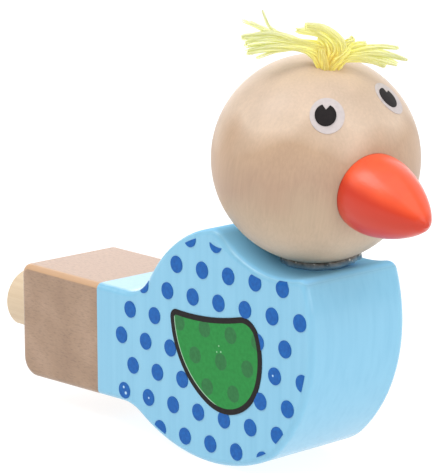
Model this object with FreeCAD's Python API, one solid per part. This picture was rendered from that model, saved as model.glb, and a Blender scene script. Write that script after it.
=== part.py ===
import FreeCAD, Part
import math
import os

from FreeCAD import Placement, Rotation, Vector

# Wooden bird whistle, standing on its belly. Millimetres, +Z up.
# The origin is the middle of the flat under the belly, +X points to the beak, +Y to the bird's left.

# Board that the body is sawn from
board_thickness = 19.1
edge_round = 1.0  # of the right side's rim
left_edge_round = 1.4  # sanded more
foot_sag = 0.15  # how much the sanded flat takes off the round belly

# Side outline of the body, as circles that run into each other (x, z of each centre)
belly_radius = 28.94
belly_x = 0.0
chest_radius = 24.55
chest_x = -1.66
chest_z = 22.32
back_radius = 21.11
back_x = 5.57
back_z = 14.85
saddle_x = 15.5
saddle_bottom = 30.82
saddle_spare = 4.1  # its radius, over the ball's
breast_blend = 9.0
lip_round = 1.55
crest_round = 2.4
neck_fillet = 6.6
throat_fillet = 8.0

# Tail block
tail_end_x = -43.7
tail_root_x = -19.3
tail_end_top = 22.45
tail_root_top = 22.65
tail_end_bottom = 4.05
tail_root_bottom = 4.95
tail_top_round = 1.8
tail_bottom_round = 3.0
paint_line_x = -24.52

# Whistle: drilled chamber, mouthpiece dowel and sound window
mouthpiece_radius = 4.89
mouthpiece_out = 10.33
mouthpiece_edge = 0.35
bore_z = 13.26
bore_clearance = 0.03
chamber_length = 31.0
window_length = 4.6
window_width = 7.0
window_top = 1.6  # above the lowest line of the bore
lip_height = 0.45  # of the sounding lip, above the lowest line of the bore
ramp_length = 4.2
windway_width = 6.0
windway_height = 1.6

# Head ball, glued on a little crooked
head_radius = 15.0
head_behind = 1.95  # from the middle of the saddle
head_gap = 0.71  # between the ball and the lowest line of the saddle
head_yaw = -4.5
head_nod = 16.9
head_roll = 6.1

# Pin and glue in the neck
pin_radius = 2.5
pin_in_body = 7.0
pin_in_head = 7.5
hole_clearance = 0.03
hole_spare = 0.5
glue_heading = 48.0  # the way that most of it ran out
glue_half_width = 5.8
glue_half_depth = 3.5
glue_shift = 0.9
glue_thickness = 1.0  # where it clings to the ball
glue_depth = 1.0  # below the saddle's floor, where its shape starts

# Turned beak with its tenon
beak_seat = 13.4  # from the centre of the ball to the floor of the beak's recess
beak_length = 13.95
beak_radius = 5.87
beak_taper = 0.37  # how far it narrows ahead of a plain half egg
beak_heel = 0.08  # how far its back end is drawn in
beak_heel_share = 0.24
beak_raise = 7.6
beak_skew = -5.3
beak_stations = 12
beak_clearance = 0.05
tenon_radius = 2.5
tenon_length = 6.0

# Printed eyes, as directions from the centre of the ball: degrees to the side and up
print_thickness = 0.1
right_eye_side = 36.2
right_eye_height = 51.5
left_eye_side = 39.0
left_eye_height = 51.7
right_pupil_side = 37.7
right_pupil_height = 51.4
left_pupil_side = 36.2
left_pupil_height = 52.6
left_pupil_turn = 50.0  # of its notch, away from the beak
eye_half_width = 2.42
eye_half_height = 2.7
pupil_half_width = 1.5
pupil_half_height = 1.65
notch_half_width = 0.62
notch_depth = 0.85

# Printed polka dots, in rows that lean a little
dot_radius = 1.29
dot_pitch = 5.671
dot_row_step = 4.414
dot_row_drift = -2.537
dot_row_stagger = -0.45
dot_lean = 1.3
dot_start_x = -2.84
dot_start_z = 33.41
dot_rows = 9
dot_columns = 11
dots_before_start = 2
dot_rear_limit = -19.5
smallest_dot = 0.3  # area of the smallest cut dot that prints
pressed_dots = [(1, 4), (2, -1), (6, 0)]  # row and place in it of dots that wrap over the rounded edge
pressed_margin = 0.3
bare_crest_radius = 4.3  # the pad stops short at the crest, along this circle
bare_crest_x = 3.6
bare_crest_z = 37.4

# Printed wing: circles along the outside of its black line (x, z of each centre)
wing_line = 0.85
wing_side_radius = 14.23
wing_side_x = 7.01
wing_side_z = 22.0
wing_front_radius = 11.57
wing_front_x = 1.14
wing_front_z = 17.61
wing_top_radius = 44.0
wing_top_x = -3.6
wing_top_z = 22.1
wing_belly_round = 8.1
wing_shoulder_round = 3.5
wing_tip_round = 1.25

# Yarn tuft: knot and frayed ends, seen across the tuft, which lies at an angle to the body
tuft_heading = 48.0
yarn_hole_radius = 1.8
yarn_hole_depth = 8.0
yarn_radius = 1.65
knot_radius = 1.9
knot_along = 0.9
knot_rise = 1.75
lock_sections = 6
lock_sides = 8
# Each lock: how far its tip lies along the tuft, to the front and up, the rise of its middle,
# and its radius near the knot and at the tip
locks = [
    (-11.4, 1.5, 3.3, 3.4, 1.1, 0.95),
    (-11.9, 0.1, 2.1, 2.7, 1.2, 0.95),
    (-11.0, -1.4, 2.6, 3.0, 1.1, 0.95),
    (-10.4, 0.4, 0.7, 2.0, 0.7, 0.5),
    (-11.8, -0.7, 5.3, 3.2, 0.6, 0.3),
    (-4.9, 0.9, 4.7, 6.3, 1.15, 0.8),
    (-3.6, -0.9, 5.5, 5.9, 0.9, 0.6),
    (4.2, -0.7, 3.5, 3.6, 0.8, 0.5),
    (9.4, 1.1, 2.0, 2.7, 1.0, 0.7),
    (11.0, -0.2, 0.8, 2.1, 1.1, 0.7),
    (9.3, -1.2, 0.1, 1.6, 1.0, 0.7),
]

tiny = 0.01
saddle_radius = head_radius + saddle_spare
saddle_z = saddle_bottom + saddle_radius
head_centre = Vector(saddle_x - head_behind, 0, saddle_bottom + head_gap + head_radius)
tail_length = tail_root_x - tail_end_x
bore_radius = mouthpiece_radius + bore_clearance
lip_x = paint_line_x - ramp_length
window_back_x = lip_x - window_length
half_board = board_thickness / 2


def point(x, z):
    return Vector(x, 0, z)


class Round:
    """A round stretch of the outline. Its wood is inside the circle, or outside it in a hollow."""

    def __init__(self, x, z, radius, hollow=False):
        self.centre = point(x, z)
        self.radius = radius
        self.hollow = hollow

    def offset(self, inward):
        radius = self.radius + inward if self.hollow else self.radius - inward
        return Round(self.centre.x, self.centre.z, radius, self.hollow)

    def nearest(self, place):
        return self.centre + (place - self.centre).normalize() * self.radius

    def edge(self, start, end):
        middle = ((start + end) * 0.5 - self.centre).normalize() * self.radius + self.centre
        return Part.Arc(start, middle, end).toShape()

    def curve(self):
        return Part.Circle(self.centre, Vector(0, 1, 0), self.radius)


class Straight:
    """A straight stretch from one point to another, with the wood on its left."""

    reach = 500.0

    def __init__(self, start, end):
        self.start = start
        self.along = (end - start).normalize()
        self.inward = Vector(-self.along.z, 0, self.along.x)

    def offset(self, inward):
        start = self.start + self.inward * inward
        return Straight(start, start + self.along)

    def nearest(self, place):
        return self.start + self.along * (place - self.start).dot(self.along)

    def edge(self, start, end):
        return Part.LineSegment(start, end).toShape()

    def curve(self):
        return Part.LineSegment(self.start - self.along * self.reach, self.start + self.along * self.reach)


def rounded_outline(stretches, corners):
    """Joins stretches in order. Each corner is a radius, negative in a hollow, and a rough place."""
    joints = []
    for index, (radius, rough) in enumerate(corners):
        first = stretches[index].offset(radius)
        second = stretches[(index + 1) % len(stretches)].offset(radius)
        meets = [Vector(p.X, p.Y, p.Z) for p in first.curve().intersect(second.curve())]
        centre = min(meets, key=lambda place: place.distanceToPoint(rough))
        start = stretches[index].nearest(centre)
        end = stretches[(index + 1) % len(stretches)].nearest(centre)
        joints.append((start, end, Round(centre.x, centre.z, abs(radius)).edge(start, end)))
    edges = []
    for index, stretch in enumerate(stretches):
        edges.append(stretch.edge(joints[index - 1][1], joints[index][0]))
        edges.append(joints[index][2])
    return Part.Wire(edges)


def slab(wire, low_y, high_y):
    """A solid with the given side outline, between two planes of constant y."""
    face = Part.Face(wire)
    face.translate(Vector(0, low_y, 0))
    solid = face.extrude(Vector(0, high_y - low_y, 0))
    return solid if solid.Volume > 0 else solid.reversed()


def rod(start, along, length, radius):
    return Part.makeCylinder(radius, length, start, along)


def body_outline(inset=0.0):
    belly = Round(belly_x, belly_radius - foot_sag, belly_radius)
    chest = Round(chest_x, chest_z, chest_radius)
    saddle = Round(saddle_x, saddle_z, saddle_radius, hollow=True)
    back = Round(back_x, back_z, back_radius)
    top = Straight(point(tail_root_x, tail_root_top), point(tail_end_x, tail_end_top))
    end = Straight(point(tail_end_x, tail_end_top), point(tail_end_x, tail_end_bottom))
    bottom = Straight(point(tail_end_x, tail_end_bottom), point(tail_root_x, tail_root_bottom))
    stretches = [stretch.offset(inset) for stretch in (belly, chest, saddle, back, top, end, bottom)]
    corners = [
        (breast_blend - inset, point(chest_x + chest_radius, 0)),
        (lip_round - inset, point(chest_x + chest_radius, saddle_z - saddle_radius)),
        (crest_round - inset, point(saddle_x - saddle_radius, back_z + back_radius)),
        (-neck_fillet - inset, point(tail_root_x, tail_root_top + neck_fillet)),
        (tail_top_round - inset, point(tail_end_x, tail_end_top)),
        (tail_bottom_round - inset, point(tail_end_x, tail_end_bottom)),
        (-throat_fillet - inset, point(tail_root_x, tail_root_bottom - throat_fillet)),
    ]
    return rounded_outline(stretches, corners)


def make_blank():
    """The sawn body with its two side outlines rounded over and the foot sanded flat."""
    blank = slab(body_outline(), -half_board, half_board)
    for radius, side in ((edge_round, -half_board), (left_edge_round, half_board)):
        rim = [e for e in blank.Edges if all(abs(v.Y - side) < tiny for v in e.Vertexes)]
        blank = blank.makeFillet(radius, rim)
    foot = Part.makeBox(2 * belly_radius, board_thickness, belly_radius)
    foot.translate(Vector(belly_x - belly_radius, -half_board, -belly_radius))
    return blank.cut(foot)


def make_window():
    """The sound window under the tail: a slot up into the bore and the ramp to its sounding lip."""
    bore_bottom = bore_z - bore_radius
    under = min(tail_end_bottom, tail_root_bottom) - tail_bottom_round
    along_tail = (paint_line_x - tail_end_x) / tail_length
    surface = tail_end_bottom + (tail_root_bottom - tail_end_bottom) * along_tail
    side = [
        point(window_back_x, under),
        point(window_back_x, bore_bottom + window_top),
        point(lip_x, bore_bottom + window_top),
        point(lip_x, bore_bottom + lip_height),
        point(paint_line_x, surface),
        point(paint_line_x, under),
    ]
    return slab(Part.makePolygon(side + side[:1]), -window_width / 2, window_width / 2)


def make_body(blank):
    bore = rod(Vector(tail_end_x - tiny, 0, bore_z), Vector(1, 0, 0),
               window_back_x - tail_end_x + chamber_length, bore_radius)
    pin_hole = rod(point(head_centre.x, saddle_floor() - pin_in_body - hole_spare), Vector(0, 0, 1),
                   pin_in_body + saddle_radius, pin_radius + hole_clearance)
    return blank.cut([bore, make_window(), pin_hole])


def saddle_floor():
    """Height of the saddle straight under the centre of the head."""
    return saddle_z - math.sqrt(saddle_radius ** 2 - head_behind ** 2)


def make_mouthpiece():
    """Dowel that plugs the bore up to the window, with the windway milled along its underside."""
    length = mouthpiece_out + window_back_x - tail_end_x
    start_x = tail_end_x - mouthpiece_out
    dowel = rod(Vector(start_x, 0, bore_z), Vector(1, 0, 0), length, mouthpiece_radius)
    rim = [e for e in dowel.Edges if abs(e.BoundBox.XMax - start_x) < tiny]
    dowel = dowel.makeChamfer(mouthpiece_edge, rim)
    windway = Part.makeBox(length + 2 * tiny, windway_width, mouthpiece_radius)
    groove_top = bore_z - mouthpiece_radius + windway_height
    windway.translate(Vector(start_x - tiny, -windway_width / 2, groove_top - mouthpiece_radius))
    return dowel.cut(windway)


def head_turn():
    return Rotation(head_yaw, head_nod, head_roll)


def place_on_head(solid, azimuth=0.0, height=0.0):
    """Sets a solid that is made round the origin on the head, with its +X turned to a direction there."""
    aim = Rotation(Vector(0, 0, 1), azimuth).multiply(Rotation(Vector(0, 1, 0), -height))
    placed = solid.copy()
    placed.Placement = Placement(head_centre, head_turn().multiply(aim)).multiply(placed.Placement)
    return placed


def beak_outline(station):
    """Radius of the beak at a share of its length: half an egg that tapers, drawn in at the heel."""
    egg = math.sqrt(max(0, 1 - station ** 2))
    heel = 1 - beak_heel * max(0, 1 - station / beak_heel_share) ** 2
    return beak_radius * egg * (1 - beak_taper * station ** 2) * heel


def make_beak():
    places = []
    for index in range(beak_stations):
        station = math.sin(math.pi / 2 * index / (beak_stations - 1))
        places.append(Vector(beak_seat + beak_length * station, beak_outline(station), 0))
    side = Part.BSplineCurve()
    side.interpolate(Points=places, InitialTangent=Vector(beak_length, beak_radius, 0),
                     FinalTangent=Vector(0, -beak_radius, 0))
    tip = places[-1]
    heel = Vector(beak_seat, 0, 0)
    edges = [side.toShape(), Part.LineSegment(tip, heel).toShape(), Part.LineSegment(heel, places[0]).toShape()]
    beak = Part.Face(Part.Wire(edges)).revolve(Vector(0, 0, 0), Vector(1, 0, 0), 360)
    tenon = rod(Vector(beak_seat - tenon_length, 0, 0), Vector(1, 0, 0), tenon_length + tiny, tenon_radius)
    return place_on_head(beak.fuse(tenon).removeSplitter(), beak_skew, beak_raise)


def recess_radius():
    """The recess clears the beak up to the ball's surface, where the beak has swelled a little."""
    depth = math.sqrt(head_radius ** 2 - beak_outline(0) ** 2) - beak_seat
    return beak_outline(depth / beak_length) + beak_clearance


def make_head():
    ball = place_on_head(Part.makeSphere(head_radius))
    recess = rod(Vector(beak_seat, 0, 0), Vector(1, 0, 0), head_radius, recess_radius())
    tenon_hole = rod(Vector(beak_seat - tenon_length - hole_spare, 0, 0), Vector(1, 0, 0),
                     tenon_length + head_radius, tenon_radius + hole_clearance)
    yarn_hole = rod(Vector(0, 0, head_radius - yarn_hole_depth), Vector(0, 0, 1),
                    head_radius, yarn_hole_radius)
    pin_hole = rod(head_centre - Vector(0, 0, 2 * head_radius), Vector(0, 0, 1),
                   head_radius + pin_in_head + hole_spare, pin_radius + hole_clearance)
    cuts = [place_on_head(s, beak_skew, beak_raise) for s in (recess, tenon_hole)]
    return ball.cut(cuts + [place_on_head(yarn_hole), pin_hole])


def make_neck_pin():
    bottom = saddle_floor() - pin_in_body
    top = head_centre.z - head_radius + pin_in_head
    return rod(point(head_centre.x, bottom), Vector(0, 0, 1), top - bottom, pin_radius)


def oval_bar(half_width, half_height, length):
    """An upright oval bar along +X."""
    ends = sorted([Vector(0, half_width, 0), Vector(0, 0, half_height)], key=lambda end: -end.Length)
    oval = Part.Ellipse(ends[0], ends[1], Vector(0, 0, 0))
    return Part.Face(Part.Wire(oval.toShape())).extrude(Vector(length, 0, 0))


def make_neck_glue(pin):
    """Glue squeezed out under the ball, where it fills the gap above the saddle and clings to the ball."""
    column = oval_bar(glue_half_depth, glue_half_width, 2 * glue_half_width)
    column.rotate(Vector(0, 0, 0), Vector(0, 1, 0), -90)
    column.translate(Vector(glue_shift, 0, 0))
    column.rotate(Vector(0, 0, 0), Vector(0, 0, 1), glue_heading)
    column.translate(point(head_centre.x, saddle_floor() - glue_depth))
    drum = rod(Vector(saddle_x, -board_thickness, saddle_z), Vector(0, 1, 0), 2 * board_thickness, saddle_radius)
    cling = Part.makeSphere(head_radius + glue_thickness, head_centre)
    ball = Part.makeSphere(head_radius, head_centre)
    return column.common(drum).common(cling).cut([ball, pin])


def on_side(wire):
    """A flat region of the body's right side."""
    face = Part.Face(wire)
    face.translate(Vector(0, -half_board, 0))
    return face


def disc(centre, radius):
    return on_side(Part.Wire(Part.makeCircle(radius, centre, Vector(0, 1, 0))))


def dot_discs(rim):
    """The dots that the printing pad leaves, cut off where the side rounds away over the width of the rim."""
    flat = on_side(body_outline(rim)).cut(disc(point(bare_crest_x, bare_crest_z), bare_crest_radius))
    pressed = on_side(body_outline(pressed_margin))
    discs = []
    lean = Rotation(Vector(0, 1, 0), -dot_lean)
    for row in range(dot_rows):
        start = point(dot_start_x + row * dot_row_drift + (row % 2) * dot_row_stagger, dot_start_z - row * dot_row_step)
        for column in range(-dots_before_start, dot_columns - dots_before_start):
            centre = start + lean.multVec(point(column * dot_pitch, 0))
            if centre.x > dot_rear_limit:
                reach = pressed if (row, column) in pressed_dots else flat
                discs += disc(centre, dot_radius).common(reach).Faces
    return Part.Compound(discs)


def wing_face(inset):
    side = Round(wing_side_x, wing_side_z, wing_side_radius)
    front = Round(wing_front_x, wing_front_z, wing_front_radius)
    top = Round(wing_top_x, wing_top_z + wing_top_radius, wing_top_radius, hollow=True)
    stretches = [stretch.offset(inset) for stretch in (side, front, top)]
    corners = [
        (wing_belly_round - inset, point(wing_side_x, wing_front_z)),
        (wing_shoulder_round - inset, point(wing_front_x + wing_front_radius, wing_top_z)),
        (wing_tip_round - inset, point(wing_side_x - wing_side_radius, wing_top_z)),
    ]
    return on_side(rounded_outline(stretches, corners))


def printed(region, blank):
    """Thin solids of ink over a region of the right side, which follow its rounded edge."""
    skin = blank.copy()
    skin.translate(Vector(0, -print_thickness, 0))
    inks = []
    for face in region.Faces:
        if face.Area > smallest_dot:
            face.translate(Vector(0, -2 * print_thickness, 0))
            inks.append(face.extrude(Vector(0, edge_round, 0)).common(skin).cut(blank))
    return Part.Compound([solid for ink in inks for solid in ink.Solids])


def make_side_print(blank, rim):
    """Dots, then the green wing through which they show, then the wing's black line."""
    dots = dot_discs(rim)
    outer = wing_face(0)
    inner = wing_face(wing_line)
    return {
        "polka_dots": printed(dots.cut(outer), blank),
        "wing": printed(inner.cut(dots), blank),
        "wing_dots": printed(dots.common(inner), blank),
        "wing_outline": printed(outer.cut(inner), blank),
    }


def mirrored(shape):
    return shape.mirror(Vector(0, 0, 0), Vector(0, 1, 0))


def paint_on_ball(stencil, layer, side, height):
    """One layer of paint on the ball, inside a stencil that is made along +X."""
    under = Part.makeSphere(head_radius + layer * print_thickness)
    over = Part.makeSphere(head_radius + (layer + 1) * print_thickness)
    return place_on_head(stencil.common(over).cut(under), side, height)


def make_eye_white(side, height):
    return paint_on_ball(oval_bar(eye_half_width, eye_half_height, 2 * head_radius), 0, side, height)


def make_pupil(side, height, turn=0.0):
    """Black oval with a notch at its top, which may be turned about the middle."""
    bottom = Vector(0, 0, pupil_half_height - notch_depth)
    above = 2 * pupil_half_height - notch_depth
    spread = notch_half_width * above / notch_depth
    corners = [bottom, bottom + Vector(0, spread, above), bottom + Vector(0, -spread, above), bottom]
    notch = Part.Face(Part.makePolygon(corners)).extrude(Vector(2 * head_radius, 0, 0))
    notch.rotate(Vector(0, 0, 0), Vector(1, 0, 0), -turn)
    oval = oval_bar(pupil_half_width, pupil_half_height, 2 * head_radius)
    return paint_on_ball(oval.cut(notch), 1, side, height)


def make_lock(start, middle, tip, root_radius, tip_radius):
    """A tapering lock of yarn along a curve through three control points."""
    path = Part.BezierCurve()
    path.setPoles([start, middle, tip])
    sections = []
    for index in range(lock_sections):
        share = index / (lock_sections - 1)
        radius = root_radius + (tip_radius - root_radius) * share
        along = path.tangent(share)[0]
        across = Vector(0, 0, 1).cross(along).normalize()
        over = along.cross(across)
        ring = []
        for side in range(lock_sides + 1):
            turn = 2 * math.pi * side / lock_sides
            ring.append(path.value(share) + across * radius * math.cos(turn) + over * radius * math.sin(turn))
        sections.append(Part.makePolygon(ring))
    return Part.makeLoft(sections, True, True)


def make_yarn_tuft():
    """Knotted yarn: a stub glued in the head, the knot and its frayed ends."""
    mouth = head_centre + head_turn().multVec(Vector(0, 0, head_radius))
    heading = math.radians(tuft_heading)
    along = Vector(math.cos(heading), math.sin(heading), 0)
    front = Vector(math.sin(heading), -math.cos(heading), 0)
    up = Vector(0, 0, 1)
    knot_centre = mouth + along * knot_along + up * knot_rise
    knot = Part.makeSphere(knot_radius, knot_centre)
    stub_start = head_centre + head_turn().multVec(Vector(0, 0, head_radius - yarn_hole_depth + hole_spare))
    stub = rod(stub_start, mouth - stub_start, (mouth - stub_start).Length + knot_rise / 2, yarn_radius)
    pieces = [stub]
    for reach, forward, rise, middle_rise, root_radius, tip_radius in locks:
        tip = mouth + along * reach + front * forward + up * rise
        middle = mouth + along * ((knot_along + reach) / 2) + front * (forward / 2) + up * middle_rise
        pieces.append(make_lock(knot_centre, middle, tip, root_radius, tip_radius))
    return knot.fuse(pieces)


parts = {}
blank = make_blank()
parts["body"] = make_body(blank)
parts["mouthpiece"] = make_mouthpiece()
parts["head"] = make_head()
parts["beak"] = make_beak()
parts["neck_pin"] = make_neck_pin()
parts["neck_glue"] = make_neck_glue(parts["neck_pin"])
parts["yarn_tuft"] = make_yarn_tuft()
parts["eye_white_right"] = make_eye_white(-right_eye_side, right_eye_height)
parts["eye_white_left"] = make_eye_white(left_eye_side, left_eye_height)
parts["pupil_right"] = make_pupil(-right_pupil_side, right_pupil_height)
parts["pupil_left"] = make_pupil(left_pupil_side, left_pupil_height, left_pupil_turn)
for name, shape in make_side_print(blank, edge_round).items():
    parts[name + "_right"] = shape
for name, shape in make_side_print(mirrored(blank), left_edge_round).items():
    parts[name + "_left"] = mirrored(shape)

os.makedirs("parts", exist_ok=True)
for name, shape in parts.items():
    print(name, "solids", len(shape.Solids), "valid", shape.isValid(), "volume", round(shape.Volume, 1))
    shape.exportStep("parts/" + name + ".step")
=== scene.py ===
import math
import random

import bpy
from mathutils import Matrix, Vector


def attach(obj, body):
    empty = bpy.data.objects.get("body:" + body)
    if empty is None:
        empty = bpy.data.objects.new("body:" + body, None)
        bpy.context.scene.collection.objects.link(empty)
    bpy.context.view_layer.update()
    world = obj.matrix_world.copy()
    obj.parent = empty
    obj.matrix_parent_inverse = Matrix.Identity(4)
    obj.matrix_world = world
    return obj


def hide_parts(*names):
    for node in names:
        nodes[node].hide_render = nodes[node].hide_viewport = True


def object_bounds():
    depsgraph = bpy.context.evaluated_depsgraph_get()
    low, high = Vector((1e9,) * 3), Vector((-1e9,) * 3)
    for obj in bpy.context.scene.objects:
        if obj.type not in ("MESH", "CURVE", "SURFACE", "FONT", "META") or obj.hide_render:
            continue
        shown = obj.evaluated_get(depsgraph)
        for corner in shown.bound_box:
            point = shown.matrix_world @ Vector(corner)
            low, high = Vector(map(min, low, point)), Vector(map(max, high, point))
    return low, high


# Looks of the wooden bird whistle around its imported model. Metres, +X to the beak, +Z up.

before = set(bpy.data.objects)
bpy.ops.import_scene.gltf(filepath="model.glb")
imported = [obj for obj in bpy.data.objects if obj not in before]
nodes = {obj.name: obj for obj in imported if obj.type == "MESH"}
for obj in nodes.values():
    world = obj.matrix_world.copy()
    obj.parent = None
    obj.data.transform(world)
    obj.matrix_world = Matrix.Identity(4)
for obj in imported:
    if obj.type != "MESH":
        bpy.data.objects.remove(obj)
cadLow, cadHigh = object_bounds()
mm = 0.001
random.seed(7)
print("frame loaded:", len(nodes), "nodes")


# Small helpers

def colour(hexText):
    # sRGB hex to the linear colour that shaders take
    channels = [int(hexText[i:i + 2], 16) / 255 for i in (0, 2, 4)]
    return [c / 12.92 if c <= 0.04045 else ((c + 0.055) / 1.055) ** 2.4 for c in channels] + [1.0]


def addNode(tree, kind, settings=None, links=None):
    # a key that names an input, or gives its number, sets the input, and any other sets the node
    node = tree.nodes.new(kind)
    for key, value in (settings or {}).items():
        if key == "stops":
            while len(node.color_ramp.elements) < len(value):
                node.color_ramp.elements.new(0.5)
            for element, (place, tone) in zip(node.color_ramp.elements, value):
                element.position = place
                element.color = tone if isinstance(tone, list) else (tone, tone, tone, 1)
        elif isinstance(key, int) or key in node.inputs:
            node.inputs[key].default_value = value
        else:
            setattr(node, key, value)
    for key, source in (links or {}).items():
        tree.links.new(source, node.inputs[key])
    return node


def newMaterial(name, settings):
    material = bpy.data.materials.new(name)
    material.use_nodes = True
    tree = material.node_tree
    tree.nodes.clear()
    shader = addNode(tree, "ShaderNodeBsdfPrincipled", settings)
    addNode(tree, "ShaderNodeOutputMaterial", links={"Surface": shader.outputs[0]})
    return material, tree, shader


def stretchedNoise(tree, place, size, settings, turned=(0, 0, 0)):
    # noise with cells of the given size along each axis, for fibres, flecks and brush marks
    cells = addNode(tree, "ShaderNodeMapping", {"vector_type": "TEXTURE", "Rotation": turned, "Scale": size},
                    {"Vector": place})
    noise = addNode(tree, "ShaderNodeTexNoise", {"Scale": 1.0, **settings}, {"Vector": cells.outputs[0]})
    return noise.outputs["Fac"]


def dress(material, *names):
    for name in names:
        nodes[name].data.materials.clear()
        nodes[name].data.materials.append(material)


def middleOf(piece):
    return sum((piece.matrix_world @ Vector(corner) for corner in piece.bound_box), Vector()) / 8


def onlySelect(piece):
    bpy.ops.object.select_all(action="DESELECT")
    piece.select_set(True)
    bpy.context.view_layer.objects.active = piece


# Camera at the photograph's angle

photoView = {
    "azimuth": 47.95,
    "elevation": 13.01,
    "distance": 366.8 * mm,
    "target": Vector((-7.09, 0, 31.51)) * mm,
    "lens": 185.8,
    "shiftX": -0.0041,
}


def makeCamera():
    turn, rise = math.radians(photoView["azimuth"]), math.radians(photoView["elevation"])
    back = Vector((math.sin(turn) * math.cos(rise), -math.cos(turn) * math.cos(rise), math.sin(rise)))
    bpy.ops.object.camera_add(location=photoView["target"] + back * photoView["distance"])
    camera = bpy.context.object
    camera.rotation_mode = "QUATERNION"
    camera.rotation_quaternion = (-back).to_track_quat("-Z", "Y")
    camera.data.lens = photoView["lens"]
    camera.data.shift_x = photoView["shiftX"]
    camera.data.clip_start = 0.01
    bpy.context.scene.camera = camera


makeCamera()
print("camera set")


# White studio: bright all round but for the dim side where the camera stands, with soft boxes above and
# around the whistle, and a white table that glows a little

studio = {
    "surroundings": 0.62,
    "dimRoom": 0.4,  # share of that left on the dim side
    "dimSide": (0.74, -0.67, 0),
    "dimFrom": (0.35, 0.85),  # how squarely a direction points to that side, where dimming starts and ends
    "floorTone": "808080",
    "floorGlow": 0.87,
    "floorSize": 8.0,
    "lights": [
        # each stands in a direction from the whistle's middle, so many metres away
        {"name": "topSoftbox", "from": (0.25, -0.1, 1.0), "away": 0.9, "size": 0.9, "power": 2.9},
        {"name": "backPanel", "from": (-0.72, 0.65, 0.3), "away": 1.0, "size": 1.0, "power": 3.4},
        {"name": "farPanel", "from": (0.3, 0.9, 0.3), "away": 0.9, "size": 0.8, "power": 0.8},
        {"name": "sidePanel", "from": (-0.61, -0.50, 0.60), "away": 0.8, "size": 0.36, "power": 0.4},
        {"name": "keyBox", "from": (-0.31, -0.47, 0.82), "away": 0.9, "size": 0.42, "power": 3.0},
        {"name": "frontPanel", "from": (0.9, -0.1, 0.4), "away": 0.9, "size": 0.7, "power": 2.9},
        {"name": "window", "from": (0.647, -0.756, 0.1), "away": 0.9, "size": 0.11, "power": 0.3},
    ],
}


def makeStudio():
    world = bpy.data.worlds.new("studio")
    bpy.context.scene.world = world
    world.use_nodes = True
    tree = world.node_tree
    background = tree.nodes["Background"]
    background.inputs["Color"].default_value = (1, 1, 1, 1)
    direction = addNode(tree, "ShaderNodeTexCoord").outputs["Generated"]
    towards = addNode(tree, "ShaderNodeVectorMath", {"operation": "DOT_PRODUCT", 1: studio["dimSide"]},
                      {0: direction})
    first, last = studio["dimFrom"]
    bright = studio["surroundings"]
    strength = addNode(tree, "ShaderNodeMapRange", {
        "From Min": first, "From Max": last, "To Min": bright, "To Max": bright * studio["dimRoom"]},
        {"Value": towards.outputs["Value"]})
    # the camera itself sees plain white where it looks past the table
    seen = addNode(tree, "ShaderNodeLightPath").outputs["Is Camera Ray"]
    shown = addNode(tree, "ShaderNodeMix", {3: 1.0}, {0: seen, 2: strength.outputs[0]})
    tree.links.new(shown.outputs[0], background.inputs["Strength"])
    centre = (cadLow + cadHigh) / 2
    for light in studio["lights"]:
        way = Vector(light["from"]).normalized()
        bpy.ops.object.light_add(type="AREA", location=centre + way * light["away"])
        lamp = bpy.context.object
        lamp.name = light["name"]
        lamp.rotation_mode = "QUATERNION"
        lamp.rotation_quaternion = way.to_track_quat("Z", "Y")
        lamp.data.size = light["size"]
        lamp.data.energy = light["power"]
    bpy.ops.mesh.primitive_plane_add(size=studio["floorSize"])
    floor = bpy.context.object
    floor.name = "floor"
    table = newMaterial("glowingWhiteTable", {
        "Roughness": 0.9, "Base Color": colour(studio["floorTone"]), "Emission Color": (1, 1, 1, 1),
        "Emission Strength": studio["floorGlow"]})[0]
    floor.data.materials.append(table)
    bpy.context.scene.view_settings.view_transform = "Standard"


makeStudio()
print("studio set")


# Materials

body = {
    "paintLine": -24.52 * mm,
    "paintWander": 0.06 * mm,  # how far the masked edge strays
    "wanderLength": 2 * mm,
    "sky": "81BFDD",
    "skyDeep": "7CBBDA",
    "skyPale": "84C2DF",
    "streakWidth": 0.9 * mm,
    "streakLength": 30 * mm,
    "paintRoughness": 0.22,
    "coat": 0.26,
    # the hollow under the head, where nothing rubs the paint so it is dull, and where its blue is painted
    # paler as painted light that lifts the ball's shade: it begins between each two values, in height,
    # forwards, and in how level the surface is
    "hollowHeight": (29.6 * mm, 30.2 * mm),
    "hollowForward": (-9 * mm, -1 * mm),
    "hollowLevel": (0.6, 0.85),
    "paintedLightInHollow": "8BCFF6",
    "dullRoughness": 1.0,
    "beech": "A08167",
    "beechDeep": "97785F",
    "beechPale": "A98A71",
    "cloudWidth": 6 * mm,
    "paintedLightFlatFaces": "B18B70",  # upper and lower faces painted paler and pinker: painted light
    "paintedLightFlatLevel": (0.95, 0.99),
    "fleckLength": 0.9 * mm,
    "fleckWidth": 0.24 * mm,  # true beech flecks are half as wide, and wouldn't show
    "fleckTones": [(0.32, 0.78), (0.47, 0.98), (0.6, 1.0), (0.72, 1.1)],  # share of the wood's own tone
    "roundedEdgeTan": "CDA37C",  # a paler, deeper tan on rounded edges
    "roundedEdgeShare": 0.9,
    "edgeSquareness": (0.999, 0.965),  # a rounded edge faces no axis squarely
    "upperEdge": (0.02, 0.3),  # and only those that face up take it
    "woodRoughness": 0.4,
    "reliefStrength": 0.2,
    "reliefDepth": 0.03 * mm,
}


def brushedSkyEnamel(tree, place):
    # satin enamel, with faint upright brush streaks
    streakSize = (body["streakWidth"], body["streakWidth"], body["streakLength"])
    streaks = stretchedNoise(tree, place, streakSize, {"Detail": 3.0})
    enamel = addNode(tree, "ShaderNodeValToRGB", {"stops": [
        (0.25, colour(body["skyDeep"])), (0.5, colour(body["sky"])), (0.8, colour(body["skyPale"]))]},
        {"Fac": streaks})
    return enamel.outputs["Color"], streaks


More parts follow.
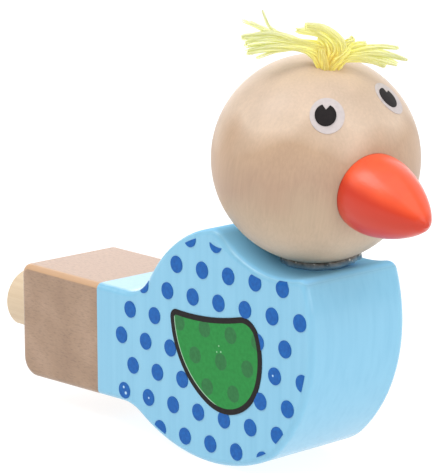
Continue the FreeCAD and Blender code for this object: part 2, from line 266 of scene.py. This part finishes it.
def sandedBeech(tree, place, normal, level):
    # pinkish, with clouds of tone, short dark flecks along the board, upper and lower faces painted paler as
    # painted light, and a paler tan on rounded edges that face up
    clouds = addNode(tree, "ShaderNodeTexNoise", {"Scale": 1 / body["cloudWidth"], "Detail": 1.0},
                     {"Vector": place})
    wood = addNode(tree, "ShaderNodeValToRGB", {"stops": [
        (0.3, colour(body["beechDeep"])), (0.5, colour(body["beech"])), (0.7, colour(body["beechPale"]))]},
        {"Fac": clouds.outputs["Fac"]})
    # painted light: faces that point up or down get a paler, pinker tone
    first, last = body["paintedLightFlatLevel"]
    flat = addNode(tree, "ShaderNodeMapRange", {"From Min": first, "From Max": last},
                   {"Value": level.outputs["Z"]})
    board = addNode(tree, "ShaderNodeMix", {"data_type": "RGBA", 7: colour(body["paintedLightFlatFaces"])},
                    {0: flat.outputs[0], 6: wood.outputs["Color"]})
    fleckSize = (body["fleckLength"], body["fleckWidth"], body["fleckWidth"])
    flecks = stretchedNoise(tree, place, fleckSize, {"Detail": 2.0, "Roughness": 0.6})
    fleckTone = addNode(tree, "ShaderNodeValToRGB", {"stops": body["fleckTones"]}, {"Fac": flecks})
    flecked = addNode(tree, "ShaderNodeMix", {"data_type": "RGBA", "blend_type": "MULTIPLY", 0: 1.0},
                      {6: board.outputs[2], 7: fleckTone.outputs["Color"]})
    sideways = addNode(tree, "ShaderNodeMath", {"operation": "MAXIMUM"},
                       {0: level.outputs["X"], 1: level.outputs["Y"]})
    squarely = addNode(tree, "ShaderNodeMath", {"operation": "MAXIMUM"},
                       {0: sideways.outputs[0], 1: level.outputs["Z"]})
    first, last = body["edgeSquareness"]
    rounded = addNode(tree, "ShaderNodeMapRange", {
        "From Min": first, "From Max": last, "To Max": body["roundedEdgeShare"]}, {"Value": squarely.outputs[0]})
    first, last = body["upperEdge"]
    upward = addNode(tree, "ShaderNodeMapRange", {"From Min": first, "From Max": last},
                     {"Value": addNode(tree, "ShaderNodeSeparateXYZ", links={0: normal}).outputs["Z"]})
    edge = addNode(tree, "ShaderNodeMath", {"operation": "MULTIPLY"},
                   {0: rounded.outputs[0], 1: upward.outputs[0]})
    bare = addNode(tree, "ShaderNodeMix", {"data_type": "RGBA", 7: colour(body["roundedEdgeTan"])},
                   {0: edge.outputs[0], 6: flecked.outputs[2]})
    return bare.outputs[2], flecks


def hollowUnderHead(tree, axes, level):
    # 1 in the hollow, fading to 0 at its edges
    inside = []
    for source, reach in ((axes.outputs["Z"], "hollowHeight"), (axes.outputs["X"], "hollowForward"),
                          (level.outputs["Z"], "hollowLevel")):
        first, last = body[reach]
        inside.append(addNode(tree, "ShaderNodeMapRange", {"From Min": first, "From Max": last},
                              {"Value": source}))
    saddle = addNode(tree, "ShaderNodeMath", {"operation": "MULTIPLY"},
                     {0: inside[0].outputs[0], 1: inside[1].outputs[0]})
    hollow = addNode(tree, "ShaderNodeMath", {"operation": "MULTIPLY"},
                     {0: saddle.outputs[0], 1: inside[2].outputs[0]})
    return hollow.outputs[0]


def skyPaintOverBeech():
    # sky enamel masked off in a straight line, and bare sanded beech behind the line
    material, tree, shader = newMaterial("skyEnamelOverBeech", {"IOR": 1.5, "Coat Roughness": 0.1})
    place = addNode(tree, "ShaderNodeTexCoord").outputs["Object"]
    axes = addNode(tree, "ShaderNodeSeparateXYZ", links={0: place})
    normal = addNode(tree, "ShaderNodeNewGeometry").outputs["Normal"]
    facing = addNode(tree, "ShaderNodeVectorMath", {"operation": "ABSOLUTE"}, {0: normal})
    level = addNode(tree, "ShaderNodeSeparateXYZ", links={0: facing.outputs[0]})

    wander = addNode(tree, "ShaderNodeTexNoise", {"Scale": 1 / body["wanderLength"], "Detail": 1.0},
                     {"Vector": place})
    strayed = addNode(tree, "ShaderNodeMath", {"operation": "MULTIPLY_ADD", 1: body["paintWander"]},
                      {0: wander.outputs["Fac"], 2: axes.outputs["X"]})
    painted = addNode(tree, "ShaderNodeMath", {"operation": "GREATER_THAN", 1: body["paintLine"]},
                      {0: strayed.outputs[0]}).outputs[0]

    enamel, streaks = brushedSkyEnamel(tree, place)
    beech, flecks = sandedBeech(tree, place, normal, level)
    hollow = hollowUnderHead(tree, axes, level)
    # painted light: in the hollow the blue turns paler, lifting the shade under the ball
    paint = addNode(tree, "ShaderNodeMix", {"data_type": "RGBA", 7: colour(body["paintedLightInHollow"])},
                    {0: hollow, 6: enamel})
    finish = addNode(tree, "ShaderNodeMix", {"data_type": "RGBA"},
                     {0: painted, 6: beech, 7: paint.outputs[2]})
    paintGloss = addNode(tree, "ShaderNodeMix", {2: body["paintRoughness"], 3: body["dullRoughness"]},
                         {0: hollow})
    gloss = addNode(tree, "ShaderNodeMix", {2: body["woodRoughness"]}, {0: painted, 3: paintGloss.outputs[0]})
    coat = addNode(tree, "ShaderNodeMapRange", {"To Min": body["coat"], "To Max": 0.0}, {"Value": hollow})
    relief = addNode(tree, "ShaderNodeMix", links={0: painted, 2: flecks, 3: streaks})
    bump = addNode(tree, "ShaderNodeBump", {
        "Strength": body["reliefStrength"], "Distance": body["reliefDepth"]}, {"Height": relief.outputs[0]})
    tree.links.new(finish.outputs[2], shader.inputs["Base Color"])
    tree.links.new(gloss.outputs[0], shader.inputs["Roughness"])
    tree.links.new(coat.outputs[0], shader.inputs["Coat Weight"])
    tree.links.new(bump.outputs[0], shader.inputs["Normal"])
    return material


ball = {
    "grain": Vector((0.28, -0.13, 0.95)),
    # the wood's own tan, made pale pinkish high up as a painted highlight and greyish low down as painted
    # shade, changing slowly with height: height, mm, and tone
    "heights": (32, 61),
    "heightTonesWithLight": [
        (34, "BDA890"), (40, "BAA288"), (45, "B4957C"), (50, "BB9C80"), (53.5, "D0B8A1"), (58, "C9B099")],
    "cloudWidth": 9 * mm,
    "wander": 5 * mm,
    "bandWidth": 5.0 * mm,
    "bandLength": 60 * mm,
    "bandTones": (0.93, 1.06),
    "streakWidth": 0.35 * mm,
    "streakLength": 9 * mm,
    "streakTones": (0.94, 1.045),
    "noiseReach": (0.3, 0.7),  # where nearly all of a noise's values lie
    "roughness": 0.5,
    "reliefStrength": 0.1,
    "reliefDepth": 0.02 * mm,
}


def lacqueredBirch():
    # turned birch under one thin coat of clear lacquer: tan, paler high up as a painted highlight and greyer
    # low down as painted shade, with soft upright bands and a dull shine
    material, tree, shader = newMaterial("lacqueredBirch", {
        "Roughness": ball["roughness"], "Coat Weight": 0.25, "Coat Roughness": 0.3})
    place = addNode(tree, "ShaderNodeTexCoord").outputs["Object"]
    clouds = addNode(tree, "ShaderNodeTexNoise", {"Scale": 1 / ball["cloudWidth"], "Detail": 1.0},
                     {"Vector": place})
    axes = addNode(tree, "ShaderNodeSeparateXYZ", links={0: place})
    wander = addNode(tree, "ShaderNodeMapRange", {"To Min": -ball["wander"], "To Max": ball["wander"]},
                     {"Value": clouds.outputs["Fac"]})
    height = addNode(tree, "ShaderNodeMath", {"operation": "ADD"},
                     {0: axes.outputs["Z"], 1: wander.outputs[0]})
    low, high = ball["heights"]
    share = addNode(tree, "ShaderNodeMapRange", {"From Min": low * mm, "From Max": high * mm},
                    {"Value": height.outputs[0]})
    # painted highlight high up and painted shade low down, over the wood's tan
    wood = addNode(tree, "ShaderNodeValToRGB", {"stops": [
        ((level - low) / (high - low), colour(tone)) for level, tone in ball["heightTonesWithLight"]]},
        {"Fac": share.outputs[0]})

    lean = Vector((0, 0, 1)).rotation_difference(ball["grain"].normalized()).to_euler()
    bandSize = (ball["bandWidth"], ball["bandWidth"], ball["bandLength"])
    bands = stretchedNoise(tree, place, bandSize, {"Detail": 2.0}, lean)
    streakSize = (ball["streakWidth"], ball["streakWidth"], ball["streakLength"])
    streaks = stretchedNoise(tree, place, streakSize, {"Detail": 3.0, "Roughness": 0.6}, lean)
    first, last = ball["noiseReach"]
    shades = []
    for noise, (dark, pale) in ((bands, ball["bandTones"]), (streaks, ball["streakTones"])):
        shades.append(addNode(tree, "ShaderNodeMapRange", {
            "From Min": first, "From Max": last, "To Min": dark, "To Max": pale}, {"Value": noise}))
    tone = addNode(tree, "ShaderNodeMath", {"operation": "MULTIPLY"},
                   {0: shades[0].outputs[0], 1: shades[1].outputs[0]})
    grained = addNode(tree, "ShaderNodeVectorMath", {"operation": "SCALE"},
                      {0: wood.outputs["Color"], "Scale": tone.outputs[0]})
    bump = addNode(tree, "ShaderNodeBump", {
        "Strength": ball["reliefStrength"], "Distance": ball["reliefDepth"]}, {"Height": streaks})
    tree.links.new(grained.outputs[0], shader.inputs["Base Color"])
    tree.links.new(bump.outputs[0], shader.inputs["Normal"])
    return material


dowel = {
    "cream": "DAC4A6",
    "straw": "D2BA9A",
    "streakWidth": 0.5 * mm,
    "streakLength": 18 * mm,
    "roughness": 0.55,
    "reliefStrength": 0.3,
    "reliefDepth": 0.03 * mm,
}


def plainDowel():
    # unfinished ramin dowel: cream, with fine straight lines along it
    material, tree, shader = newMaterial("bareRaminDowel", {"Roughness": dowel["roughness"]})
    place = addNode(tree, "ShaderNodeTexCoord").outputs["Object"]
    streakSize = (dowel["streakLength"], dowel["streakWidth"], dowel["streakWidth"])
    streaks = stretchedNoise(tree, place, streakSize, {"Detail": 3.0})
    wood = addNode(tree, "ShaderNodeValToRGB", {"stops": [
        (0.3, colour(dowel["straw"])), (0.62, colour(dowel["cream"]))]}, {"Fac": streaks})
    bump = addNode(tree, "ShaderNodeBump", {
        "Strength": dowel["reliefStrength"], "Distance": dowel["reliefDepth"]}, {"Height": streaks})
    tree.links.new(wood.outputs["Color"], shader.inputs["Base Color"])
    tree.links.new(bump.outputs[0], shader.inputs["Normal"])
    return material


beak = {
    "orange": "EF562D",
    "deep": "E8512A",
    "cloudWidth": 2.5 * mm,
    "run": "CA3419",  # painted shade: a deeper red on the underside
    "runSlope": 0.317,  # the edge of the painted shade sinks this much per length forwards
    "runBelow": (54.3 * mm, 56.3 * mm),  # height of that edge, carried back to x = 0
    "roughness": 0.34,
    "reliefStrength": 0.2,
    "reliefDepth": 0.03 * mm,
}


def glossyOrangeEnamel():
    # dipped enamel on a turned bead: a strong orange-red with a soft shine, and a deeper red below as painted
    # shade
    material, tree, shader = newMaterial("dippedOrangeEnamel", {
        "Roughness": beak["roughness"], "Specular IOR Level": 0.35,
        "Coat Weight": 0.2, "Coat Roughness": 0.2})
    place = addNode(tree, "ShaderNodeTexCoord").outputs["Object"]
    clouds = addNode(tree, "ShaderNodeTexNoise", {"Scale": 1 / beak["cloudWidth"], "Detail": 2.0},
                     {"Vector": place})
    coat = addNode(tree, "ShaderNodeValToRGB", {"stops": [
        (0.35, colour(beak["deep"])), (0.65, colour(beak["orange"]))]}, {"Fac": clouds.outputs["Fac"]})
    axes = addNode(tree, "ShaderNodeSeparateXYZ", links={0: place})
    # painted shade: below a sloping edge the red turns deeper
    height = addNode(tree, "ShaderNodeMath", {"operation": "MULTIPLY_ADD", 1: beak["runSlope"]},
                     {0: axes.outputs["X"], 2: axes.outputs["Z"]})
    low, high = beak["runBelow"]
    thick = addNode(tree, "ShaderNodeMapRange", {
        "interpolation_type": "SMOOTHSTEP", "From Min": high, "From Max": low}, {"Value": height.outputs[0]})
    enamel = addNode(tree, "ShaderNodeMix", {"data_type": "RGBA", 7: colour(beak["run"])},
                     {0: thick.outputs[0], 6: coat.outputs["Color"]})
    bump = addNode(tree, "ShaderNodeBump", {
        "Strength": beak["reliefStrength"], "Distance": beak["reliefDepth"]},
        {"Height": clouds.outputs["Fac"]})
    tree.links.new(enamel.outputs[2], shader.inputs["Base Color"])
    tree.links.new(bump.outputs[0], shader.inputs["Normal"])
    return material


printInks = {
    # the pad missed a few specks: their tone, and the place and radius of each, mm
    "blueInk": {
        "tone": "0F62B1", "deep": "0C55A2", "roughness": 0.4, "shine": 0.2, "missed": "B5D8EE",
        "specks": [(-18.16, -9.6, 7.45, 0.2), (-17.69, -9.6, 6.6, 0.24), (-12.26, -9.6, 7.02, 0.16),
                   (15.06, -9.6, 16.41, 0.16)]},
    "greenInk": {
        "tone": "248C3F", "deep": "1F8239", "roughness": 0.4, "shine": 0.2, "missed": "8FC79B",
        "specks": [(3.57, -9.6, 18.46, 0.13), (4.0, -9.6, 17.64, 0.15), (3.13, -9.6, 17.46, 0.13)]},
    "greenOverBlueInk": {"tone": "2C7640", "deep": "266C39", "roughness": 0.4, "shine": 0.2, "specks": []},
    "blackInk": {"tone": "201A1B", "deep": "181415", "roughness": 0.42, "shine": 0.15, "specks": []},
    "whiteInk": {"tone": "C8BEBC", "deep": "C1B7B6", "roughness": 0.4, "shine": 0.4, "specks": []},
}
inkPatch = 0.6 * mm  # breadth of the patches where the pad pressed less

# the green was printed a little out of register, so a pale hairline shows along the wing's rear edge, which
# is an arc in side view
hairline = {
    "inks": ("greenInk", "greenOverBlueInk"),
    "middle": (7.01 * mm, 0, 22.0 * mm),
    "radius": 13.38 * mm,
    "width": 0.17 * mm,
    "tone": "A9D2B4",
}


def printInk(name):
    # pad-printed ink, thin and satin, a little uneven where the pad pressed less
    look = printInks[name]
    material, tree, shader = newMaterial(name, {
        "Roughness": look["roughness"], "Specular IOR Level": look["shine"]})
    place = addNode(tree, "ShaderNodeTexCoord").outputs["Object"]
    patches = addNode(tree, "ShaderNodeTexNoise", {"Scale": 1 / inkPatch, "Detail": 3.0}, {"Vector": place})
    ink = addNode(tree, "ShaderNodeValToRGB", {"stops": [
        (0.35, colour(look["deep"])), (0.65, colour(look["tone"]))]}, {"Fac": patches.outputs["Fac"]})
    tone = ink.outputs["Color"]
    for x, y, z, radius in look["specks"]:
        away = addNode(tree, "ShaderNodeVectorMath", {"operation": "DISTANCE", 1: (x * mm, y * mm, z * mm)},
                       {0: place})
        bare = addNode(tree, "ShaderNodeMapRange", {
            "From Min": 1.3 * radius * mm, "From Max": 0.7 * radius * mm}, {"Value": away.outputs["Value"]})
        tone = addNode(tree, "ShaderNodeMix", {"data_type": "RGBA", 7: colour(look["missed"])},
                       {0: bare.outputs[0], 6: tone}).outputs[2]
    if name in hairline["inks"]:
        sideView = addNode(tree, "ShaderNodeVectorMath", {"operation": "MULTIPLY", 1: (1, 0, 1)}, {0: place})
        away = addNode(tree, "ShaderNodeVectorMath", {"operation": "DISTANCE", 1: hairline["middle"]},
                       {0: sideView.outputs[0]})
        inner = hairline["radius"] - hairline["width"]
        bare = addNode(tree, "ShaderNodeMapRange", {
            "From Min": inner, "From Max": inner + hairline["width"] / 2}, {"Value": away.outputs["Value"]})
        tone = addNode(tree, "ShaderNodeMix", {"data_type": "RGBA", 7: colour(hairline["tone"])},
                       {0: bare.outputs[0], 6: tone}).outputs[2]
    tree.links.new(tone, shader.inputs["Base Color"])
    return material


glue = {
    "brown": "5E544A",
    "grey": "8B857C",
    "patchWidth": 1.2 * mm,
    "milky": "C6C1B8",
    "crumbWidth": 0.45 * mm,
    "crumbsAbove": (0.66, 0.72),  # of their noise
    "foot": "6F97AE",  # thin at its foot, where the sky paint shows through
    "footReach": (15.35 * mm, 16.05 * mm),  # from the ball's centre
    "voxel": 0.16 * mm,
    "lumps": 1.1 * mm,
    "lumpHeight": 0.55 * mm,
    "roughness": 0.3,
}


def driedGlue():
    # white wood glue that dried brownish grey and half clear, with a few milky crumbs
    material, tree, shader = newMaterial("driedWoodGlue", {"Roughness": glue["roughness"]})
    place = addNode(tree, "ShaderNodeTexCoord").outputs["Object"]
    patches = addNode(tree, "ShaderNodeTexNoise", {"Scale": 1 / glue["patchWidth"], "Detail": 2.0},
                      {"Vector": place})
    clear = addNode(tree, "ShaderNodeValToRGB", {"stops": [
        (0.42, colour(glue["brown"])), (0.62, colour(glue["grey"]))]}, {"Fac": patches.outputs["Fac"]})
    reach = addNode(tree, "ShaderNodeVectorMath", {"operation": "DISTANCE", 1: middleOf(nodes["head"])},
                    {0: place})
    near, far = glue["footReach"]
    thin = addNode(tree, "ShaderNodeMapRange", {"From Min": near, "From Max": far},
                   {"Value": reach.outputs["Value"]})
    bead = addNode(tree, "ShaderNodeMix", {"data_type": "RGBA", 7: colour(glue["foot"])},
                   {0: thin.outputs[0], 6: clear.outputs["Color"]})
    crumbs = addNode(tree, "ShaderNodeTexNoise", {"Scale": 1 / glue["crumbWidth"], "Detail": 1.0},
                     {"Vector": place})
    first, last = glue["crumbsAbove"]
    crumb = addNode(tree, "ShaderNodeMapRange", {"From Min": first, "From Max": last},
                    {"Value": crumbs.outputs["Fac"]})
    tone = addNode(tree, "ShaderNodeMix", {"data_type": "RGBA", 7: colour(glue["milky"])},
                   {0: crumb.outputs[0], 6: bead.outputs[2]})
    tree.links.new(tone.outputs[2], shader.inputs["Base Color"])
    return material


def makeGlue():
    # the bead of glue, with the lumps that squeezed out
    lumpy = bpy.data.objects.new("gluedLumps", nodes["neck_glue"].data.copy())
    bpy.context.scene.collection.objects.link(lumpy)
    onlySelect(lumpy)
    bpy.ops.object.mode_set(mode="EDIT")
    bpy.ops.mesh.select_all(action="SELECT")
    bpy.ops.mesh.remove_doubles(threshold=0.001 * mm)
    bpy.ops.object.mode_set(mode="OBJECT")
    finer = lumpy.modifiers.new("finer", "REMESH")
    finer.mode = "VOXEL"
    finer.voxel_size = glue["voxel"]
    bumps = bpy.data.textures.new("glueLumps", "CLOUDS")
    bumps.noise_scale = glue["lumps"]
    uneven = lumpy.modifiers.new("uneven", "DISPLACE")
    uneven.texture = bumps
    uneven.strength = glue["lumpHeight"]
    for modifier in ("finer", "uneven"):
        bpy.ops.object.modifier_apply(modifier=modifier)
    bpy.ops.object.shade_smooth()
    lumpy.data.materials.clear()
    lumpy.data.materials.append(driedGlue())
    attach(lumpy, "root")
    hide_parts("neck_glue")
    print("glue:", len(lumpy.data.polygons), "faces")


yarn = {
    "mouth": Vector((17.75, -1.93, 60.80)) * mm,  # middle of the hole in the head
    "heading": 48.0,
    "strandRadius": 0.14 * mm,
    "steps": 14,
    "stray": 0.05,  # how far a strand waves, mm
    "waves": (1.5, 3.5),  # and how often, about one for each unit
    "twist": (0.3, 1.6),  # turn round its bundle, radians
    "thickness": (0.8, 1.2),  # times the strand radius
    "lookAhead": 0.02,  # share of a path over which its direction is taken
    # uneven is how much shorter than its path a strand may be, mm. The path gives how far each point lies
    # along the tuft, to the front and up, and the bundle's radius there, mm
    "bundles": [
        {"name": "leftBrushUpper", "strands": 34, "uneven": 0.8, "path": [
            (1.12, 0.2, 1.86, 0.8), (-1.12, 0.2, 2.5, 0.75), (-2.94, 0.3, 2.95, 0.55),
            (-4.19, 0.3, 3.25, 0.45), (-5.59, 0.3, 3.75, 0.55), (-6.99, 0.4, 4.15, 0.62),
            (-8.39, 0.4, 4.25, 0.6), (-10.2, 0.4, 3.98, 0.5), (-12.16, 0.4, 3.8, 0.42)]},
        {"name": "leftBrushMiddle", "strands": 34, "uneven": 1.0, "path": [
            (1.12, 0.3, 1.4, 0.8), (-1.12, 0.4, 1.9, 0.75), (-2.8, 0.5, 2.45, 0.6),
            (-4.19, 0.5, 2.78, 0.5), (-5.59, 0.5, 3.1, 0.55), (-6.99, 0.6, 3.3, 0.6),
            (-8.39, 0.6, 3.35, 0.62), (-10.06, 0.6, 3.08, 0.55), (-11.75, 0.6, 2.75, 0.5)]},
        {"name": "leftBrushLower", "strands": 30, "uneven": 0.8, "path": [
            (0.3, 0.5, 0.6, 0.8), (-1.3, 0.6, 1.3, 0.7), (-2.8, 0.7, 2.05, 0.55),
            (-4.19, 0.7, 2.38, 0.45), (-5.59, 0.7, 2.5, 0.5), (-6.99, 0.8, 2.52, 0.52),
            (-8.39, 0.8, 2.42, 0.55), (-10.06, 0.8, 2.15, 0.5), (-11.5, 0.8, 1.78, 0.45)]},
        {"name": "leftRoot", "strands": 22, "uneven": 0.6, "path": [
            (-0.8, 0.7, -0.7, 0.55), (-1.3, 0.8, 0.15, 0.55), (-1.95, 0.8, 1.1, 0.5),
            (-3.0, 0.7, 1.95, 0.42), (-4.6, 0.6, 2.4, 0.38), (-6.4, 0.6, 2.55, 0.3)]},
        {"name": "paleLock", "strands": 9, "uneven": 1.4, "path": [
            (-4.19, 0.2, 3.13, 0.25), (-6.29, 0.2, 3.85, 0.35), (-8.11, 0.2, 4.57, 0.4),
            (-10.06, 0.2, 5.43, 0.42), (-12.16, 0.2, 6.36, 0.36)]},
        {"name": "spike", "strands": 3, "uneven": 0.3, "path": [
            (-5.31, 0.4, 3.46, 0.14), (-7.27, 0.4, 4.61, 0.14), (-8.18, 0.4, 5.33, 0.12),
            (-8.81, 0.4, 6.62, 0.1), (-9.22, 0.4, 7.7, 0.08)]},
        {"name": "lowStray", "strands": 5, "uneven": 0.5, "path": [
            (-3.91, 0.8, 2.41, 0.15), (-6.15, 0.9, 2.07, 0.16), (-8.11, 1.0, 1.64, 0.2),
            (-10.06, 1.0, 0.88, 0.26)]},
        {"name": "archOuter", "strands": 34, "uneven": 0.5, "path": [
            (1.54, 0.5, 0.76, 0.7), (2.1, 0.7, 1.96, 0.65), (1.75, 0.7, 3.1, 0.6), (0.7, 0.8, 4.2, 0.58),
            (-0.7, 0.8, 4.98, 0.58), (-2.1, 0.8, 5.35, 0.56), (-3.35, 0.8, 5.5, 0.46)]},
        {"name": "archInner", "strands": 32, "uneven": 0.6, "path": [
            (0.56, 0.6, 1.07, 0.7), (0.98, 0.8, 2.12, 0.7), (0.56, 0.8, 3.05, 0.65),
            (-0.28, 0.8, 3.8, 0.58), (-1.54, 0.8, 4.4, 0.52), (-2.94, 0.8, 4.68, 0.44),
            (-4.61, 0.8, 4.86, 0.34)]},
        {"name": "archFill", "strands": 22, "uneven": 0.4, "path": [
            (0.3, 0.6, 0.6, 0.7), (0.2, 0.8, 1.7, 0.7), (-0.1, 0.8, 2.6, 0.6), (-0.65, 0.8, 3.3, 0.5),
            (-1.5, 0.8, 3.8, 0.35)]},
        {"name": "frontWrap", "strands": 26, "uneven": 0.2, "path": [
            (2.8, 0.2, 2.41, 0.45), (2.5, 0.9, 1.9, 0.5), (1.8, 1.3, 1.2, 0.55), (1.1, 1.45, 0.5, 0.55),
            (0.6, 1.4, -0.15, 0.5), (0.3, 1.2, -0.7, 0.45)]},
        {"name": "frontRoot", "strands": 26, "uneven": 0.1, "path": [
            (-0.9, 1.0, 2.2, 0.5), (-0.85, 1.3, 1.3, 0.55), (-0.6, 1.4, 0.4, 0.55),
            (-0.4, 1.3, -0.4, 0.5), (-0.3, 1.1, -1.0, 0.45)]},
        {"name": "core", "strands": 60, "uneven": 0.2, "path": [
            (0, 0, -3.08, 1.65), (0, 0, -1.36, 1.7), (0.14, 0.1, 0.09, 1.65), (0.5, 0.2, 1.41, 1.3)]},
        {"name": "rightSpike", "strands": 14, "uneven": 0.5, "path": [
            (2.0, 0.2, 1.84, 0.5), (2.75, 0.3, 2.9, 0.48), (3.45, 0.3, 3.95, 0.22)]},
        {"name": "rightSpikeLow", "strands": 10, "uneven": 0.4, "path": [
            (1.96, 0.3, 2.44, 0.4), (2.8, 0.4, 3.18, 0.38), (3.84, 0.4, 3.46, 0.24)]},
        {"name": "rightTip", "strands": 9, "uneven": 0.3, "path": [
            (2.8, 0.1, 2.25, 0.4), (4.05, 0.1, 2.8, 0.35), (5.4, 0.1, 2.98, 0.22)]},
        {"name": "rightRoot", "strands": 22, "uneven": 0.6, "path": [
            (1.2, 0.8, -0.8, 0.5), (1.75, 0.8, 0.1, 0.5), (2.7, 0.7, 0.85, 0.45), (4.2, 0.6, 1.15, 0.4),
            (6.2, 0.6, 0.95, 0.3)]},
        {"name": "rightUpperLock", "strands": 16, "uneven": 0.8, "path": [
            (1.68, 0.1, 0.96, 0.6), (3.35, 0.1, 1.67, 0.55), (5.31, 0.2, 2.27, 0.42),
            (7.55, 0.2, 2.51, 0.3), (9.92, 0.2, 2.3, 0.2)]},
        {"name": "rightBrushTop", "strands": 24, "uneven": 0.8, "path": [
            (1.4, 0.2, 0.84, 0.7), (3.07, 0.2, 1.19, 0.55), (4.75, 0.3, 1.5, 0.52),
            (6.29, 0.3, 1.65, 0.52), (7.83, 0.3, 1.58, 0.46), (9.5, 0.3, 1.07, 0.3),
            (11.18, 0.3, 0.57, 0.17)]},
        {"name": "rightBrushMiddle", "strands": 26, "uneven": 1.0, "path": [
            (1.4, 0.3, 0.71, 0.7), (3.07, 0.4, 0.95, 0.55), (4.75, 0.5, 1.12, 0.52),
            (6.43, 0.5, 0.9, 0.52), (8.11, 0.5, 0.55, 0.46), (9.78, 0.5, 0, 0.34)]},
        {"name": "rightBrushLow", "strands": 22, "uneven": 0.6, "path": [
            (1.4, 0.3, 0.57, 0.7), (3.07, 0.4, 0.74, 0.5), (4.75, 0.5, 0.79, 0.45),
            (6.15, 0.5, 0.47, 0.42), (7.41, 0.5, 0.07, 0.4), (8.11, 0.5, -0.14, 0.34)]},
    ],
    # golden near the hole is painted shade, and the pale tips are painted light through the thin ends
    "root": "EEBE38",
    "lemon": "FBF480",
    "tip": "F0F6AF",
    "toneReachFromHole": (0.6 * mm, 11 * mm),  # from the hole, over which the tone changes
    "paintedGlow": 0.125,  # painted light: the yarn glows, giving back more light than it gets
    "roughness": 0.7,
}


def yarnFibre():
    # dyed acrylic yarn, frayed: lemon, golden where the strands crowd in the hole as painted shade, pale
    # greenish lemon at the tips as painted light through the thin ends
    # painted light: the yarn glows a little in its own lemon tone
    material, tree, shader = newMaterial("frayedAcrylicYarn", {
        "Roughness": yarn["roughness"], "Sheen Weight": 0.3, "Subsurface Weight": 0.8,
        "Subsurface Radius": (1, 1, 0.5), "Subsurface Scale": 1.2 * mm,
        "Emission Color": colour(yarn["lemon"]), "Emission Strength": yarn["paintedGlow"]})
    place = addNode(tree, "ShaderNodeTexCoord").outputs["Object"]
    reach = addNode(tree, "ShaderNodeVectorMath", {"operation": "DISTANCE", 1: yarn["mouth"]}, {0: place})
    first, last = yarn["toneReachFromHole"]
    share = addNode(tree, "ShaderNodeMapRange", {"From Min": first, "From Max": last},
                    {"Value": reach.outputs["Value"]})
    yarnToneWithLight = addNode(tree, "ShaderNodeValToRGB", {"stops": [
        (0.0, colour(yarn["root"])), (0.28, colour(yarn["lemon"])), (0.85, colour(yarn["tip"]))]},
        {"Fac": share.outputs[0]})
    tree.links.new(yarnToneWithLight.outputs["Color"], shader.inputs["Base Color"])
    return material


def along(path, share):
    # a place on a smooth curve through the path's points, with its radius
    spot = share * (len(path) - 1)
    index = min(int(spot), len(path) - 2)
    t = spot - index
    before, start, end, after = (path[max(0, min(len(path) - 1, index + n))] for n in (-1, 0, 1, 2))
    return 0.5 * ((2 * start) + (end - before) * t + (2 * before - 5 * start + 4 * end - after) * t ** 2
                  + (3 * start - before - 3 * end + after) * t ** 3)


def makeYarn():
    heading = math.radians(yarn["heading"])
    lengthwise = Vector((math.cos(heading), math.sin(heading), 0))
    frontwards = Vector((math.sin(heading), -math.cos(heading), 0))
    upwards = Vector((0, 0, 1))
    curve = bpy.data.curves.new("yarnStrands", "CURVE")
    curve.dimensions = "3D"
    curve.bevel_depth = yarn["strandRadius"]
    curve.bevel_resolution = 0  # four sides, smooth-shaded, are round enough at this thickness
    curve.use_fill_caps = True
    for bundle in yarn["bundles"]:
        path = [Vector(point) for point in bundle["path"]]
        length = sum((Vector(b[:3]) - Vector(a[:3])).length for a, b in zip(path, path[1:]))
        for strand in range(bundle["strands"]):
            turn = random.uniform(0, 2 * math.pi)
            off = math.sqrt(random.uniform(0, 1))
            twist = random.uniform(*yarn["twist"])
            end = 1 - random.uniform(0, bundle["uneven"]) / length
            thick = random.uniform(*yarn["thickness"])
            phase, wave = random.uniform(0, 6), random.uniform(*yarn["waves"])
            spline = curve.splines.new("POLY")
            spline.points.add(yarn["steps"] - 1)
            for step, dot in enumerate(spline.points):
                share = end * step / (yarn["steps"] - 1)
                spot = along(path, share)
                ahead = along(path, min(1, share + yarn["lookAhead"]))
                way = (Vector(ahead[:3]) - Vector(spot[:3])).normalized()
                side = way.cross(Vector((0, 1, 0))).normalized()
                front = side.cross(way)
                angle = turn + twist * share
                stray = yarn["stray"] * math.sin(phase + wave * share * 6)
                reach = spot[3] * off + stray
                local = Vector(spot[:3]) + side * reach * math.cos(angle) + front * reach * math.sin(angle)
                world = lengthwise * local.x + frontwards * local.y + upwards * local.z
                dot.co = (*(yarn["mouth"] + world * mm), 1)
                dot.radius = thick * min(1, 0.55 + 3 * (1 - share))  # thinner at its end
    strands = bpy.data.objects.new("yarnStrands", curve)
    bpy.context.scene.collection.objects.link(strands)
    onlySelect(strands)
    bpy.ops.object.convert(target="MESH")
    strands = bpy.context.object
    bpy.ops.object.shade_smooth()
    strands.data.materials.clear()
    strands.data.materials.append(yarnFibre())
    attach(strands, "root")
    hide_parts("yarn_tuft")
    print("yarn:", len(strands.data.polygons), "faces")


dress(skyPaintOverBeech(), "body")
dress(lacqueredBirch(), "head")
dress(plainDowel(), "mouthpiece", "neck_pin")
dress(glossyOrangeEnamel(), "beak")
dress(printInk("blueInk"), "polka_dots_right", "polka_dots_left")
dress(printInk("greenInk"), "wing_right", "wing_left")
dress(printInk("greenOverBlueInk"), "wing_dots_right", "wing_dots_left")
dress(printInk("blackInk"), "wing_outline_right", "wing_outline_left", "pupil_right", "pupil_left")
dress(printInk("whiteInk"), "eye_white_right", "eye_white_left")
print("materials set")
makeGlue()
makeYarn()


print("done")
